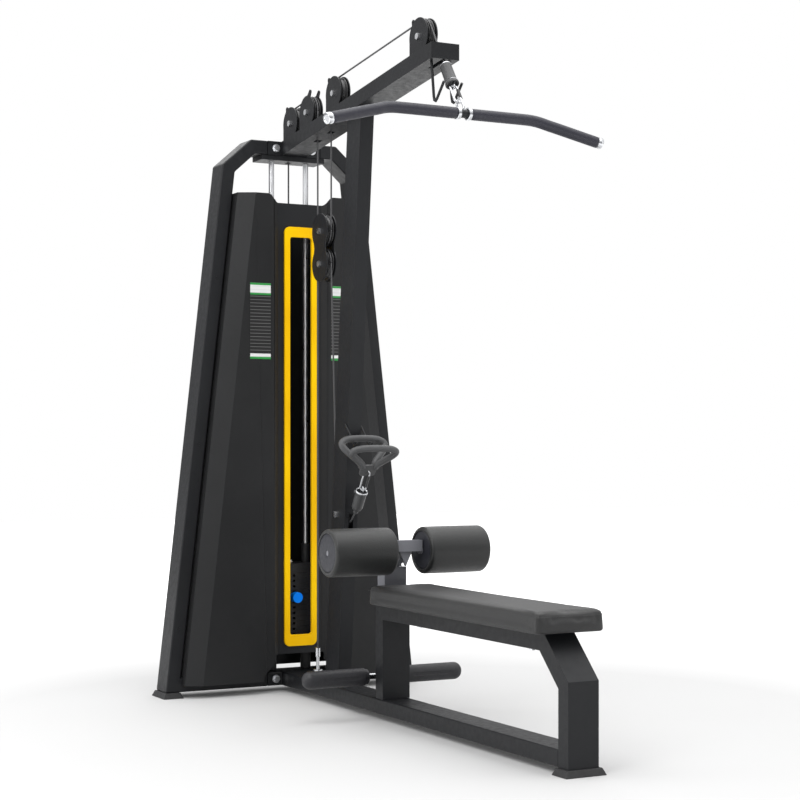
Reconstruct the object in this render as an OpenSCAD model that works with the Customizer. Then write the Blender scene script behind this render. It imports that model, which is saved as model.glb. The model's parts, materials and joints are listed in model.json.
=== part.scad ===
// Dual lat pulldown and low row machine.
// +Z up, X across the machine, seat end towards -Y, Z 0 at the floor.
// Parts are drawn with Y 0 at the front faces of the side frames, and placed()
// moves them so that the origin is the middle of the footprint.

/* [Frame] */
// Steel tube, short side
tube_t = 50; // [46:1:54]
// Steel tube, long side
tube_w = 100; // [96:1:104]
// Height of the top of the side frames
frame_h = 2005; // [1990:5:2040]
// Half width of the side frames at the floor
base_half = 497; // [490:1:520]
// Height of the tubes above the floor
foot_h = 20; // [15:1:22]
// Rise of the boom, degrees
boom_angle = 7.37; // [6.5:0.01:8]
// Lean of the main post, degrees
post_angle = 5.23; // [5:0.01:5.4]

/* [Seat] */
// Height of the seat pad top
seat_h = 447; // [440:1:455]
// Seat pad thickness
seat_t = 66; // [60:1:66]
// Seat pad width
seat_w = 234; // [220:1:250]
// Seat pad length
seat_l = 1020; // [980:5:1040]
// Thigh roller diameter
roller_d = 154; // [140:1:156]
// Height of the thigh rollers
roller_z = 558; // [558:1:570]
// Foot roller diameter
foot_roller_d = 58; // [50:1:64]

/* [Weight stack] */
// Number of weight plates
plate_n = 13; // [9:1:15]
// Weight plate thickness
plate_t = 19; // [17:0.5:19]
// Spacing of the weight plates
plate_pitch = 19.5; // [19.5:0.5:20]
// Plates lifted by the selector pin
lift_n = 5; // [5:1:8]
// Guide rod diameter
rod_d = 20; // [18:1:22]
// Guide rod spacing from the middle
rod_x = 69; // [66:1:72]

/* [Cables] */
// Cable diameter
cable_d = 6; // [5:0.5:6]
// Radius of the cable's centre line on a pulley
pulley_r = 55; // [54:0.5:56]
// Lat bar diameter
bar_d = 35; // [28:1:36]
// Lat bar half length
bar_half = 470; // [440:5:480]

/* [Hidden] */
$fn = 48;
charcoal = [0.07, 0.07, 0.075];
facet_grey = [0.12, 0.12, 0.125];
vinyl = [0.05, 0.05, 0.055];
chrome_grey = [0.75, 0.76, 0.78];
grip_grey = [0.3, 0.3, 0.32];
yellow = [1, 0.8, 0.02];
blue = [0.02, 0.35, 0.95];
black = [0.03, 0.03, 0.03];

// Side frame.
leg_slope = 0.1145;
knee_z = frame_h - 97;
leg_t = tube_t * 1.0066;
stub_x = 104;

// Boom and post.
boom_end = 1126;
boom_rise = tan(boom_angle);
boom_h = tube_t / cos(boom_angle);
post_x = 25;
post_foot = 409;
post_lean = tan(post_angle);
post_w = tube_w / cos(post_angle);

// Seat frame.
leg_y = 1892;
foot_l = 76;
back_y = 131;
middle_y = (leg_y - 22 + foot_l / 2 - back_y) / 2;
seat_bottom = seat_h - seat_t;
rail_z = seat_bottom - tube_t;
rear_y = 750;
pad_y = 815;
roller_y = 861;
upright_y = 770;
socket_z = 501;
pop_z = 458;

// Weight stack.
stack_y = 50;
stack_z = 175;
head_h = 34;
fixed_n = plate_n - lift_n;
head_z = stack_z + plate_n * plate_pitch;
head_top = head_z + head_h;
pin_z = stack_z + (fixed_n + 0.5) * plate_pitch - 0.25;
fitting_top = head_top + 90;
rod_plate_t = 18;

// Shrouds.
shroud_low = 45;
shroud_top = 1805;
panel_y = 50;
front_y = 62;
sheet = 3;

// Pulleys: places of the centres in the middle plane.
p1 = [0, -985, 2197];
p2 = [0, -312 - pulley_r, 2122];
p3 = [0, -202 + pulley_r, 2091];
p4 = [0, stack_y - pulley_r, 2073];
block_y = -257;
up_z = 1654;
lo_z = 1538;
p_low = [0, -407, 658];
low_r = 52;
rear_run = block_y + pulley_r;
front_run = block_y - pulley_r;
anchor_z = 175;
axle_r = 6;
bore_r = 6.05;
guard_x = 15;
guard_t = 4;

// Lat bar: pulled along the cable, which slants down to the seat.
pull_a = 33.3;
pull = [0, -sin(pull_a), -cos(pull_a)];
leave1 = p1 + pulley_r * [0, -cos(pull_a), sin(pull_a)];
bar_c = [0, -1236, 1913];
bar_bend = 272;
bar_drop = 71;
stop_top = bar_c - 202 * pull;

// Row handle.
row_exit = [0, -470, 640];
row_stop = [0, -509, 678];
row_neck = [0, -600, 822];

// ---- helpers -------------------------------------------------------------

module placed() {
    translate([0, middle_y, 0])
        children();
}

function unit(v) = v / norm(v);

// Ring of a swept tube: s sides of radius r about point p, across direction d.
function ring(p, d, r, s) =
    let (u = unit(cross(d, abs(d[0]) > 0.9 ? [0, 0, 1] : [1, 0, 0])), w = cross(d, u))
    [for (i = [0 : s - 1]) p + r * (cos(i * 360 / s) * u + sin(i * 360 / s) * w)];

// Direction of a route at point i.
function along(pts, i) = unit(pts[min(i + 1, len(pts) - 1)] - pts[max(i - 1, 0)]);

// Arc about c in the YZ plane from angle a to angle b, measured from +Y to +Z.
function arc(c, r, a, b, n) =
    [for (i = [0 : n]) c + r * [0, cos(a + (b - a) * i / n), sin(a + (b - a) * i / n)]];

module tube_path(pts, r, s = 10) {
    n = len(pts);
    verts = [for (i = [0 : n - 1]) each ring(pts[i], along(pts, i), r, s)];
    sides = [for (i = [0 : n - 2], j = [0 : s - 1])
        [i * s + j, (i + 1) * s + j, (i + 1) * s + (j + 1) % s, i * s + (j + 1) % s]];
    polyhedron(points = verts, faces = concat(
        [[for (j = [0 : s - 1]) j]],
        [[for (j = [s - 1 : -1 : 0]) (n - 1) * s + j]], sides));
}

// Round bar between two points.
module rod(a, b, r) {
    d = b - a;
    translate(a)
        rotate([0, acos(d[2] / norm(d)), atan2(d[1], d[0])])
            cylinder(r = r, h = norm(d));
}

// Box from its low corner to its high corner.
module box(a, b) {
    translate(a)
        cube(b - a);
}

// Round bar along X, centred.
module bar_x(c, r, l) {
    translate(c)
        rotate([0, 90, 0])
            cylinder(r = r, h = l, center = true);
}

// Outline in the YZ plane, given as [y, z], made l wide about X = x.
module side_slab(pts, l, x = 0) {
    translate([x - l / 2, 0, 0])
        rotate([90, 0, 90])
            linear_extrude(l)
                polygon(pts);
}

// Outline in the XZ plane, given as [x, z], from Y = y to Y = y + l.
module front_slab(pts, y, l) {
    translate([0, y + l, 0])
        rotate([90, 0, 0])
            linear_extrude(l)
                polygon(pts);
}

// Hexagon bolt head along +X at c.
module hex_x(c, r, h) {
    translate(c)
        rotate([0, 90, 0])
            cylinder(r = r, h = h, $fn = 6);
}

// Grooved cable pulley about X.
module wheel(c, r) {
    translate(c)
        rotate([0, 90, 0])
            rotate_extrude()
                polygon([[bore_r, -12], [16, -12], [17, -10], [r - 14, -8], [r - 10, -10],
                    [r + 2, -10], [r + 2, -8], [r - 4, -3.6], [r - 4, 3.6], [r + 2, 8],
                    [r + 2, 10], [r - 10, 10], [r - 14, 8], [17, 10], [16, 12], [bore_r, 12]]);
}

// ---- frame ---------------------------------------------------------------

function leg_x(z) = base_half - leg_slope * (z - foot_h);

module side_frame(s) {
    top_x = leg_x(knee_z) - 110;
    mirror([s < 0 ? 1 : 0, 0, 0]) {
        difference() {
            front_slab([[leg_x(foot_h), foot_h], [leg_x(knee_z), knee_z], [top_x, frame_h],
                [stub_x, frame_h], [stub_x, foot_h]], 0, tube_w);
            front_slab([[leg_x(foot_h + tube_t) - leg_t, foot_h + tube_t],
                [leg_x(knee_z - 25) - leg_t, knee_z - 25], [top_x - 18, frame_h - tube_t],
                [0, frame_h - tube_t], [0, foot_h + tube_t]], -1, tube_w + 2);
        }
    }
}

module side_frame_left() {
    color(charcoal) placed()
        side_frame(-1);
}

module side_frame_right() {
    color(charcoal) placed()
        side_frame(1);
}

// Height of the boom's underside at depth y in front of the side frames.
function boom_z(y) = frame_h - tube_t + boom_rise * y;

module boom() {
    color(charcoal) placed()
        difference() {
            union() {
                side_slab([[0, boom_z(0)], [-boom_end, boom_z(boom_end)],
                    [-boom_end, boom_z(boom_end) + boom_h], [0, boom_z(0) + boom_h]], tube_w);
                box([-stub_x, 0, frame_h - tube_t], [stub_x, tube_w, frame_h]);
            }
            for (y = [stack_y, rear_run, front_run])
                box([-12, y - 14, 1900], [12, y + 14, 2200]);
            box([-9, -1121, 2000], [9, -1030, 2250]);
        }
}

module main_post() {
    low = foot_h + tube_t;
    color(charcoal) placed()
        difference() {
            side_slab([[-post_foot - post_lean * low, low],
                [-post_foot - post_lean * 2022, boom_z(post_foot + post_lean * 2022)],
                [-post_foot - post_lean * 2010 + post_w,
                    boom_z(post_foot + post_lean * 2010 - post_w)],
                [-post_foot - post_lean * low + post_w, low]], 2 * post_x);
            box([-13, -464, p_low[2] - 58], [13, -300, p_low[2] + 58]);
            box([-9, -600, 612], [9, -450, 662]);
            bar_x(p_low, bore_r, 80);
        }
}

module base_beam() {
    color(charcoal) placed() {
        box([-tube_w / 2, -leg_y + tube_t, foot_h], [tube_w / 2, 0, foot_h + tube_t]);
        box([-stub_x, 0, foot_h], [stub_x, tube_w, foot_h + tube_t]);
    }
}

module seat_frame() {
    low = foot_h + tube_t;
    top = seat_bottom;
    color(charcoal) placed()
        difference() {
            union() {
                side_slab([[-leg_y, foot_h], [-leg_y, 259], [-leg_y + 122, top],
                    [-rear_y, top], [-rear_y, low], [-rear_y - tube_t, low],
                    [-rear_y - tube_t, rail_z], [-leg_y + 146, rail_z],
                    [-leg_y + tube_t, 236], [-leg_y + tube_t, foot_h]], tube_w);
                box([-40, -upright_y - 25, top], [40, -upright_y + 25, socket_z]);
                box([-20, -rear_y, 105], [20, -695, 165]);
            }
            box([-20.5, -upright_y - 15.5, 160], [20.5, -upright_y + 15.5, 600]);
            translate([0, -upright_y + 10, pop_z])
                rotate([-90, 0, 0])
                    cylinder(r = 7.1, h = 50);
            bar_x([0, -707, 136], 10.05, 100);
        }
}

// Rubber foot pad with sloping sides.
module foot_pad(c, w, l) {
    translate([c[0], c[1], 0])
        intersection() {
            front_slab([[-w / 2, 0], [w / 2, 0], [w / 2 - 9, foot_h], [9 - w / 2, foot_h]], -l, 2 * l);
            side_slab([[-l / 2, 0], [l / 2, 0], [l / 2 - 9, foot_h], [9 - l / 2, foot_h]], 2 * w);
        }
}

module feet() {
    color(black) placed() {
        for (s = [-1, 1])
            foot_pad([s * 473, 47], 76, 126);
        foot_pad([0, -leg_y + 22], 134, foot_l);
    }
}

// ---- guide rods and stack ------------------------------------------------

module rod_plate() {
    color(charcoal) placed()
        difference() {
            box([-125, 5, frame_h - tube_t - rod_plate_t], [125, 95, frame_h - tube_t]);
            box([-9, stack_y - 14, 1900], [9, stack_y + 14, 2000]);
        }
}

module guide_rods() {
    color(chrome_grey) placed()
        for (s = [-1, 1])
            translate([s * rod_x, stack_y, foot_h + tube_t])
                cylinder(d = rod_d, h = frame_h - 2 * tube_t - rod_plate_t - foot_h);
}

module stack_buffers() {
    color(black) placed()
        for (s = [-1, 1])
            translate([s * rod_x, stack_y, foot_h + tube_t])
                difference() {
                    cylinder(d = 38, h = stack_z - foot_h - tube_t);
                    translate([0, 0, -1])
                        cylinder(d = rod_d, h = 200);
                }
}

module weight_plate(k) {
    z = stack_z + k * plate_pitch;
    difference() {
        box([-115, 0, z], [115, 2 * stack_y, z + plate_t]);
        for (x = [-rod_x, rod_x])
            translate([x, stack_y, z - 1])
                cylinder(d = rod_d + 2, h = plate_t + 2);
        translate([0, stack_y, z - 1])
            cylinder(d = 30, h = plate_t + 2);
        translate([0, stack_y + 20, z + plate_pitch / 2 - 0.25])
            rotate([90, 0, 0])
                cylinder(r = 5.1, h = 80);
    }
}

module plates_resting() {
    color(black) placed()
        for (k = [0 : fixed_n - 1])
            weight_plate(k);
}

module plates_lifted() {
    color(black) placed()
        for (k = [fixed_n : plate_n - 1])
            weight_plate(k);
}

module head_plate() {
    color(charcoal) placed()
        difference() {
            union() {
                box([-115, 0, head_z], [115, 2 * stack_y, head_top]);
                for (s = [-1, 1])
                    translate([s * rod_x, stack_y, head_top])
                        cylinder(d = 34, h = 70);
            }
            for (s = [-1, 1])
                translate([s * rod_x, stack_y, head_z - 1])
                    cylinder(d = rod_d + 0.2, h = 120);
            translate([0, stack_y, head_z - 1])
                cylinder(d = 25, h = head_h + 2);
        }
}

module selector_stem() {
    color(chrome_grey) placed()
        difference() {
            translate([0, stack_y, stack_z + 4])
                cylinder(d = 25, h = head_top - stack_z - 4);
            for (k = [0 : plate_n - 1])
                translate([0, stack_y + 20, stack_z + (k + 0.5) * plate_pitch - 0.25])
                    rotate([90, 0, 0])
                        cylinder(r = 5.1, h = 40);
        }
}

module stack_cable_end() {
    color(chrome_grey) placed()
        translate([0, stack_y, head_top]) {
            cylinder(d = 36, h = 12, $fn = 6);
            cylinder(d = 18, h = 60);
            cylinder(d = 12, h = fitting_top - head_top);
        }
}

module selector_pin() {
    color(blue) placed()
        translate([0, -5, pin_z])
            rotate([90, 0, 0])
                cylinder(d = 38, h = 30);
    color(chrome_grey) placed()
        translate([0, 68, pin_z])
            rotate([90, 0, 0])
                cylinder(r = 5, h = 73);
}

// ---- shrouds -------------------------------------------------------------

function wall_x(z) = leg_x(z) - leg_t - 6;

// Outline of a side shroud's sheet in plan, at half width x, going round it.
function shroud_plan(x, t) = [[86, t - panel_y], [104, t - front_y], [x - 57, t - front_y],
    [x - t, 0.4 * t - 30], [x - t, 128 - t], [x - 40, 128 - t]];

module shroud(s) {
    lo = wall_x(shroud_low);
    hi = wall_x(shroud_top);
    n = 6;
    loops = [for (e = [[lo, shroud_low], [hi, shroud_top]])
        each [for (p = concat(shroud_plan(e[0], 0),
            [for (i = [n - 1 : -1 : 0]) shroud_plan(e[0], sheet)[i]])) [p[0], p[1], e[1]]]];
    m = 2 * n;
    strips = [for (i = [0 : n - 2]) [i, i + 1, m - 2 - i, m - 1 - i]];
    mirror([s < 0 ? 1 : 0, 0, 0])
        difference() {
            polyhedron(points = loops, faces = concat(
                [for (q = strips) [q[3], q[2], q[1], q[0]]],
                [for (q = strips) [for (i = q) i + m]],
                [for (i = [0 : m - 1]) [i, (i + 1) % m, (i + 1) % m + m, i + m]]));
            box([80, -2, 0], [600, tube_w + 2, foot_h + tube_t + 2]);
            front_slab([[80, 0], [146, 0], [146, shroud_low + 20], [94, 116], [94, 140],
                [80, 140]], -70, 40);
            front_slab(concat([[80, 1900], [80, 1774]],
                [for (i = [0 : 6]) [88 + 40 * i / 6, 1789.5 - 15.5 * cos(i * 30)]],
                [[128, 1900]]), -70, 40);
        }
}

module shroud_left() {
    color(facet_grey) placed()
        shroud(-1);
}

module shroud_right() {
    color(facet_grey) placed()
        shroud(1);
}

module centre_panel() {
    color(charcoal) placed()
        difference() {
            box([-86, -panel_y, 140], [86, sheet - panel_y, 1774]);
            box([-43, -80, 209], [43, 0, 1652]);
        }
}

// Rounded outline w by h with corner radius r, centred.
module rounded(w, h, r) {
    for (x = [r - w / 2, w / 2 - r], y = [r - h / 2, h / 2 - r])
        translate([x, y])
            circle(r);
    square([w - 2 * r, h], center = true);
    square([w, h - 2 * r], center = true);
}

module window_trim() {
    color(yellow) placed()
        translate([0, -panel_y, 928.5])
            rotate([90, 0, 0])
                linear_extrude(11)
                    difference() {
                        rounded(127, 1521, 20);
                        translate([0, 2])
                            rounded(86, 1443, 10);
                    }
}

module rear_panel() {
    color(charcoal) placed()
        front_slab([[-wall_x(80) + 2, 80], [wall_x(80) - 2, 80],
            [wall_x(1800) - 2, 1800], [2 - wall_x(1800), 1800]], back_y - sheet, sheet);
}

// ---- pulleys on the boom ---------------------------------------------------

// Outline of a guard plate for the pulley at c, with its eared eye turned by a.
module guard_outline(c, a, ear) {
    difference() {
        union() {
            translate([c[1], c[2]]) {
                circle(60);
                rotate(-a) {
                    polygon([[4, 40], [32, 40], [26, ear - 8], [10, ear - 8]]);
                    translate([18, ear - 8])
                        circle(8.5);
                }
            }
            polygon([[c[1] - 45, c[2] - 36], [c[1] + 59, c[2] - 10],
                [c[1] + 59, c[2] - 130], [c[1] - 45, c[2] - 130]]);
        }
        translate([c[1], c[2]]) {
            circle(axle_r);
            rotate(-a)
                translate([18, ear - 8])
                    circle(3.5);
        }
        polygon([[120, boom_z(0) + tube_t], [0, boom_z(0) + boom_h],
            [-1200, boom_z(1200) + boom_h], [-1200, 1700], [120, 1700]]);
    }
}

// Guard plates either side of a pulley, welded to the top of the boom.
module guard_pair(c, a, ear = 68) {
    for (x = [-guard_x - guard_t, guard_x])
        translate([x, 0, 0])
            rotate([90, 0, 90])
                linear_extrude(guard_t)
                    guard_outline(c, a, ear);
}

module pulley_guards() {
    color(charcoal) placed() {
        guard_pair(p1, 18);
        guard_pair(p2, 18);
        guard_pair(p3, -36, 80);
        guard_pair(p4, 10);
    }
}

// Bolt along X through a pulley, with spacers to its side plates.
module axle(c, half) {
    bar_x(c, axle_r, 2 * half);
    hex_x(c + [-half - 7, 0, 0], 11, 7);
    hex_x(c + [half, 0, 0], 11, 9);
    for (s = [-1, 1])
        difference() {
            bar_x(c + [s * 13.65, 0, 0], 10, 2.7);
            bar_x(c, axle_r, 60);
        }
}

module pulley_axles() {
    color(chrome_grey) placed() {
        for (c = [p1, p2, p3, p4])
            axle(c, guard_x + guard_t);
        bar_x(p_low, axle_r, 2 * post_x);
        hex_x(p_low + [-post_x - 7, 0, 0], 11, 7);
        hex_x(p_low + [post_x, 0, 0], 11, 9);
    }
}

module pulley_front() {
    color(black) placed()
        wheel(p1, pulley_r);
}

module pulley_middle() {
    color(black) placed()
        wheel(p2, pulley_r);
}

module pulley_inner() {
    color(black) placed()
        wheel(p3, pulley_r);
}

module pulley_rear() {
    color(black) placed()
        wheel(p4, pulley_r);
}

module pulley_low() {
    color(black) placed()
        wheel(p_low, low_r);
}

// ---- floating double pulley ------------------------------------------------

// Waisted side plates of the floating block.
module block_frame() {
    mid = (up_z + lo_z) / 2;
    color(charcoal) placed()
        for (x = [-guard_x - guard_t, guard_x])
            translate([x, 0, 0])
                rotate([90, 0, 90])
                    linear_extrude(guard_t)
                        difference() {
                            union() {
                                for (z = [up_z, lo_z])
                                    translate([block_y, z])
                                        circle(62);
                                translate([block_y, mid])
                                    polygon([[-48, -18], [-45, -8], [-44, 0], [-45, 8], [-48, 18],
                                        [48, 18], [45, 8], [44, 0], [45, -8], [48, -18]]);
                            }
                            for (z = [up_z, lo_z])
                                translate([block_y, z])
                                    circle(axle_r);
                        }
}

module block_axles() {
    color(chrome_grey) placed()
        for (z = [up_z, lo_z])
            axle([0, block_y, z], guard_x + guard_t);
}

module block_wheel_upper() {
    color(black) placed()
        wheel([0, block_y, up_z], pulley_r);
}

module block_wheel_lower() {
    color(black) placed()
        wheel([0, block_y, lo_z], pulley_r);
}

// ---- cables ----------------------------------------------------------------

module cable(pts) {
    color(black) placed()
        tube_path(pts, cable_d / 2);
}

// Angle of the straight run from the top of one pulley to the next.
function run_a(a, b) = 90 + atan((b[2] - a[2]) / (b[1] - a[1]));

module upper_cable_guided() {
    cable(concat([p4 + [0, pulley_r, -2]], arc(p4, pulley_r, 0, run_a(p4, p3), 10),
        arc(p3, pulley_r, run_a(p4, p3), 180, 10), [[0, rear_run, p3[2] - 2]]));
    cable(concat([[0, front_run, p3[2] - 2]], arc(p2, pulley_r, 0, run_a(p2, p1), 10),
        arc(p1, pulley_r, run_a(p2, p1), 180 - pull_a, 8), [stop_top - 0.5 * pull]));
}

module upper_cable_stack() {
    cable([[0, stack_y, fitting_top], [0, stack_y, p4[2] - 2]]);
}

module upper_cable_drop() {
    for (y = [rear_run, front_run])
        cable([[0, y, up_z + 1], [0, y, p3[2] - 2]]);
}

module upper_cable_turn() {
    cable(arc([0, block_y, up_z], pulley_r, -180, 0, 18));
}

module lower_cable_turn() {
    cable(arc([0, block_y, lo_z], pulley_r, 0, 180, 18));
}

module lower_cable_anchor() {
    cable([[0, rear_run, anchor_z], [0, rear_run, lo_z - 1]]);
}

module lower_cable_post() {
    cable([[0, p_low[1] + low_r, p_low[2] + 60], [0, front_run, lo_z - 1]]);
}

module lower_cable_exit() {
    cable(concat([p_low + [0, low_r, 60]], arc(p_low, low_r, 0, -150, 14),
        [row_exit, row_stop + 3 * unit(row_exit - row_stop)]));
}

// Threaded cable anchor standing on the base beam.
module cable_anchor() {
    color(chrome_grey) placed()
        translate([0, rear_run, foot_h + tube_t]) {
            cylinder(d = 44, h = 5);
            cylinder(d = 12, h = anchor_z - foot_h - tube_t);
            translate([0, 0, 16])
                cylinder(d = 22, h = 9, $fn = 6);
            translate([0, 0, 25])
                cylinder(d = 34, h = 4);
            translate([0, 0, 74])
                cylinder(d = 18, h = 31);
        }
}

// ---- lat bar ---------------------------------------------------------------

// Half of the lat bar's centre line, outwards from the middle.
function bar_pts(s) = [for (p = [[24, 0], [bar_bend - 40, 0], [bar_bend - 20, 1.3],
    [bar_bend, 6], [bar_bend + 20, 12], [bar_half, bar_drop]])
    bar_c + [s * p[0], 0, 0] + p[1] * pull];

module lat_bar() {
    color(vinyl) placed() {
        for (s = [-1, 1])
            tube_path(bar_pts(s), bar_d / 2, 12);
        bar_x(bar_c, 14, 48);
    }
}

module lat_bar_caps() {
    color(chrome_grey) placed()
        for (s = [-1, 1]) {
            end = bar_c + [s * bar_half, 0, 0] + bar_drop * pull;
            out = unit([s * (bar_half - bar_bend - 20), 0, 0] + (bar_drop - 12) * pull);
            rod(end, end + 12 * out, bar_d / 2 + 1);
            difference() {
                bar_x(bar_c + [s * 19, 0, 0], bar_d / 2 + 2, 10);
                bar_x(bar_c, 14.05, 60);
            }
        }
}

// Link of bent rod about c, from a to b along direction d, h half wide across X.
function link_pts(a, d, l, h) = [for (i = [1 : 23])
    a + d * (l / 2 - l / 2 * cos(i * 15)) + [h * sin(i * 15), 0, 0]];

module lat_bar_link() {
    color(grip_grey) placed()
        rod(stop_top, stop_top + 84 * pull, 19);
    color(chrome_grey) placed() {
        rod(stop_top + 84 * pull, stop_top + 96 * pull, 9);
        tube_path(link_pts(stop_top + 94 * pull, pull, 62, 13), 4, 8);
        rod(stop_top + 150 * pull, bar_c - 14.2 * pull, 7);
    }
}

// Bent rod under the boom that holds the bar when it isn't in use.
module bar_hook() {
    color(charcoal) placed()
        for (s = [-1, 1])
            difference() {
                tube_path([[s * 32, -1094, 2104], [s * 32, -1110, 1985], [s * 32, -1114, 1972],
                    [s * 32, -1122, 1968], [s * 32, -1130, 1974], [s * 32, -1174, 2020]], 4.5, 10);
                side_slab([[0, boom_z(0)], [-1200, boom_z(1200)], [-1200, 2300], [0, 2300]], 200);
            }
}

// ---- row handle ------------------------------------------------------------

// Closed D grip: from the neck along d, l long and h half wide.
module d_grip(d, l, h) {
    u = unit(d);
    tube_path([for (p = [[0.06, 0.2], [0.3, 0.42], [0.6, 0.8], [0.85, 0.98], [1, 0.9],
        [1.08, 0.65], [1.1, 0.3], [1.1, -0.3], [1.08, -0.65], [1, -0.9], [0.85, -0.98],
        [0.6, -0.8], [0.3, -0.42], [0.06, -0.2]])
        row_neck + u * l * p[0] + [h * p[1], 0, 0]], 11, 10);
}

module row_handle() {
    color(grip_grey) placed() {
        d_grip([0, 42, 88], 100, 82);
        d_grip([0, -50, 60], 78, 82);
        translate(row_neck + [0, 0, -6])
            rotate([22, 0, 0])
                cube([56, 12, 36], center = true);
    }
}

module row_link() {
    d = unit(row_neck - row_stop);
    color(grip_grey) placed()
        rod(row_stop, row_stop + 80 * d, 19.5);
    color(chrome_grey) placed() {
        rod(row_stop + 80 * d, row_stop + 92 * d, 8);
        tube_path(link_pts(row_stop + 90 * d, d, 58, 12), 4, 8);
    }
}

module handle_hooks() {
    y = -row_hook_y();
    color(charcoal) placed()
        for (s = [-1, 1])
            tube_path([[s * 28.05, y + 72, 970], [s * 28.05, y + 40, 940], [s * 28.05, y + 14, 908],
                [s * 28.05, y + 4, 899], [s * 28.05, y - 8, 898], [s * 28.05, y - 17, 901],
                [s * 28.05, y - 20, 907]], 3, 8);
}

// Depth of the rear grip's bar, which hangs on the hooks.
function row_hook_y() = 600 - 110 * 42 / norm([42, 88]);

// ---- seat --------------------------------------------------------------------

module seat_pad() {
    w = seat_w / 2;
    color(vinyl) placed()
        translate([0, -pad_y - seat_l / 2, seat_bottom])
            hull() {
                for (x = [-1, 1], y = [-1, 1]) {
                    translate([x * (w - 22), y * (seat_l / 2 - 22), 10])
                        cylinder(r = 22, h = seat_t - 26, $fn = 32);
                    translate([x * (w - 22), y * (seat_l / 2 - 22), 0])
                        cylinder(r = 16, h = seat_t, $fn = 32);
                }
            }
}

module seat_bolts() {
    color(chrome_grey) placed()
        for (y = [-1015, -1677], x = [-30, 30])
            translate([x, y, rail_z - 7])
                cylinder(r = 9, h = 7, $fn = 6);
}

// Round foam roller on X, with a bore and end discs.
module foam(c, r, l, bore) {
    translate(c)
        rotate([0, 90, 0])
            rotate_extrude()
                polygon(concat([[bore, -l / 2]],
                    [for (i = [0 : 4]) [r - 16 + 16 * sin(i * 22.5), 16 - l / 2 - 16 * cos(i * 22.5)]],
                    [for (i = [4 : -1 : 0]) [r - 16 + 16 * sin(i * 22.5), l / 2 - 16 + 16 * cos(i * 22.5)]],
                    [[bore, l / 2]]));
}

module thigh_carriage() {
    color(charcoal) placed()
        difference() {
            union() {
                box([-20, -upright_y - 15, 175], [20, -upright_y + 15, roller_z - 40]);
                side_slab([[15 - upright_y, roller_z - 54], [15 - upright_y, roller_z - 40],
                    [-upright_y - 14, roller_z + 4], [-roller_y + 15, roller_z + 30],
                    [-roller_y + 15, roller_z], [-roller_y + 6, roller_z - 30],
                    [-upright_y - 15, roller_z - 54]], 28);
                box([-56, -roller_y - 15, roller_z - 2], [56, -roller_y + 15, roller_z + 34]);
                front_slab([[-24, roller_z], [24, roller_z], [0, roller_z - 50]],
                    -roller_y - 6, 10);
                for (s = [-1, 1])
                    bar_x([s * 164.5, -roller_y, roller_z], 12, 229);
            }
            for (k = [0 : 4])
                translate([0, -upright_y, pop_z - 30 * k])
                    rotate([90, 0, 0])
                        cylinder(r = 6.2, h = 60, center = true);
        }
}

module thigh_roller_left() {
    color(vinyl) placed()
        foam([-170, -roller_y, roller_z], roller_d / 2, 226, 12.1);
}

module thigh_roller_right() {
    color(vinyl) placed()
        foam([170, -roller_y, roller_z], roller_d / 2, 226, 12.1);
}

module pop_pin() {
    color(chrome_grey) placed()
        translate([0, -upright_y, pop_z])
            rotate([-90, 0, 0]) {
                translate([0, 0, 15.8])
                    cylinder(r = 6, h = 15);
                translate([0, 0, 25.5])
                    cylinder(r = 9, h = 10);
                translate([0, 0, 32])
                    cylinder(r = 16, h = 18);
            }
}

module foot_roller_shaft() {
    color(chrome_grey) placed()
        bar_x([0, -707, 136], 10, 560);
}

module foot_roller_left() {
    color(vinyl) placed()
        foam([-176, -707, 136], foot_roller_d / 2, 232, 10.1);
}

module foot_roller_right() {
    color(vinyl) placed()
        foam([176, -707, 136], foot_roller_d / 2, 232, 10.1);
}

// ---- small parts ---------------------------------------------------------

module frame_bolts() {
    color(chrome_grey) placed()
        for (x = [-72, 72], z = [45, 1980])
            translate([x, 0, z])
                rotate([90, 0, 0]) {
                    cylinder(r = 15, h = 2);
                    translate([0, 0, 2])
                        cylinder(r = 11, h = 7, $fn = 6);
                }
}

module panel_screws() {
    color(chrome_grey) placed()
        for (s = [-1, 1], z = [246, 900, 1500])
            translate([s * (leg_x(z) - leg_t / 2), 0, z])
                rotate([90, 0, 0])
                    cylinder(r = 5, h = 3);
}

module placards() {
    color([0.9, 0.9, 0.9]) placed()
        for (s = [-1, 1])
            box([s * 161 - 40, -front_y - 0.6, 1207], [s * 161 + 40, -front_y, 1480]);
}

side_frame_left();
side_frame_right();
boom();
main_post();
base_beam();
seat_frame();
feet();
rod_plate();
guide_rods();
stack_buffers();
shroud_left();
shroud_right();
centre_panel();
window_trim();
rear_panel();
pulley_guards();
pulley_axles();
frame_bolts();
panel_screws();
placards();
bar_hook();
handle_hooks();
cable_anchor();
seat_pad();
seat_bolts();
foot_roller_shaft();
foot_roller_left();
foot_roller_right();
plates_resting();
plates_lifted();
head_plate();
selector_stem();
selector_pin();
stack_cable_end();
upper_cable_guided();
upper_cable_stack();
upper_cable_drop();
upper_cable_turn();
lower_cable_turn();
lower_cable_anchor();
lower_cable_post();
lower_cable_exit();
pulley_front();
pulley_middle();
pulley_inner();
pulley_rear();
pulley_low();
block_frame();
block_axles();
block_wheel_upper();
block_wheel_lower();
lat_bar();
lat_bar_caps();
lat_bar_link();
row_handle();
row_link();
thigh_carriage();
thigh_roller_left();
thigh_roller_right();
pop_pin();
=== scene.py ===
import json
import math
import random

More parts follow.
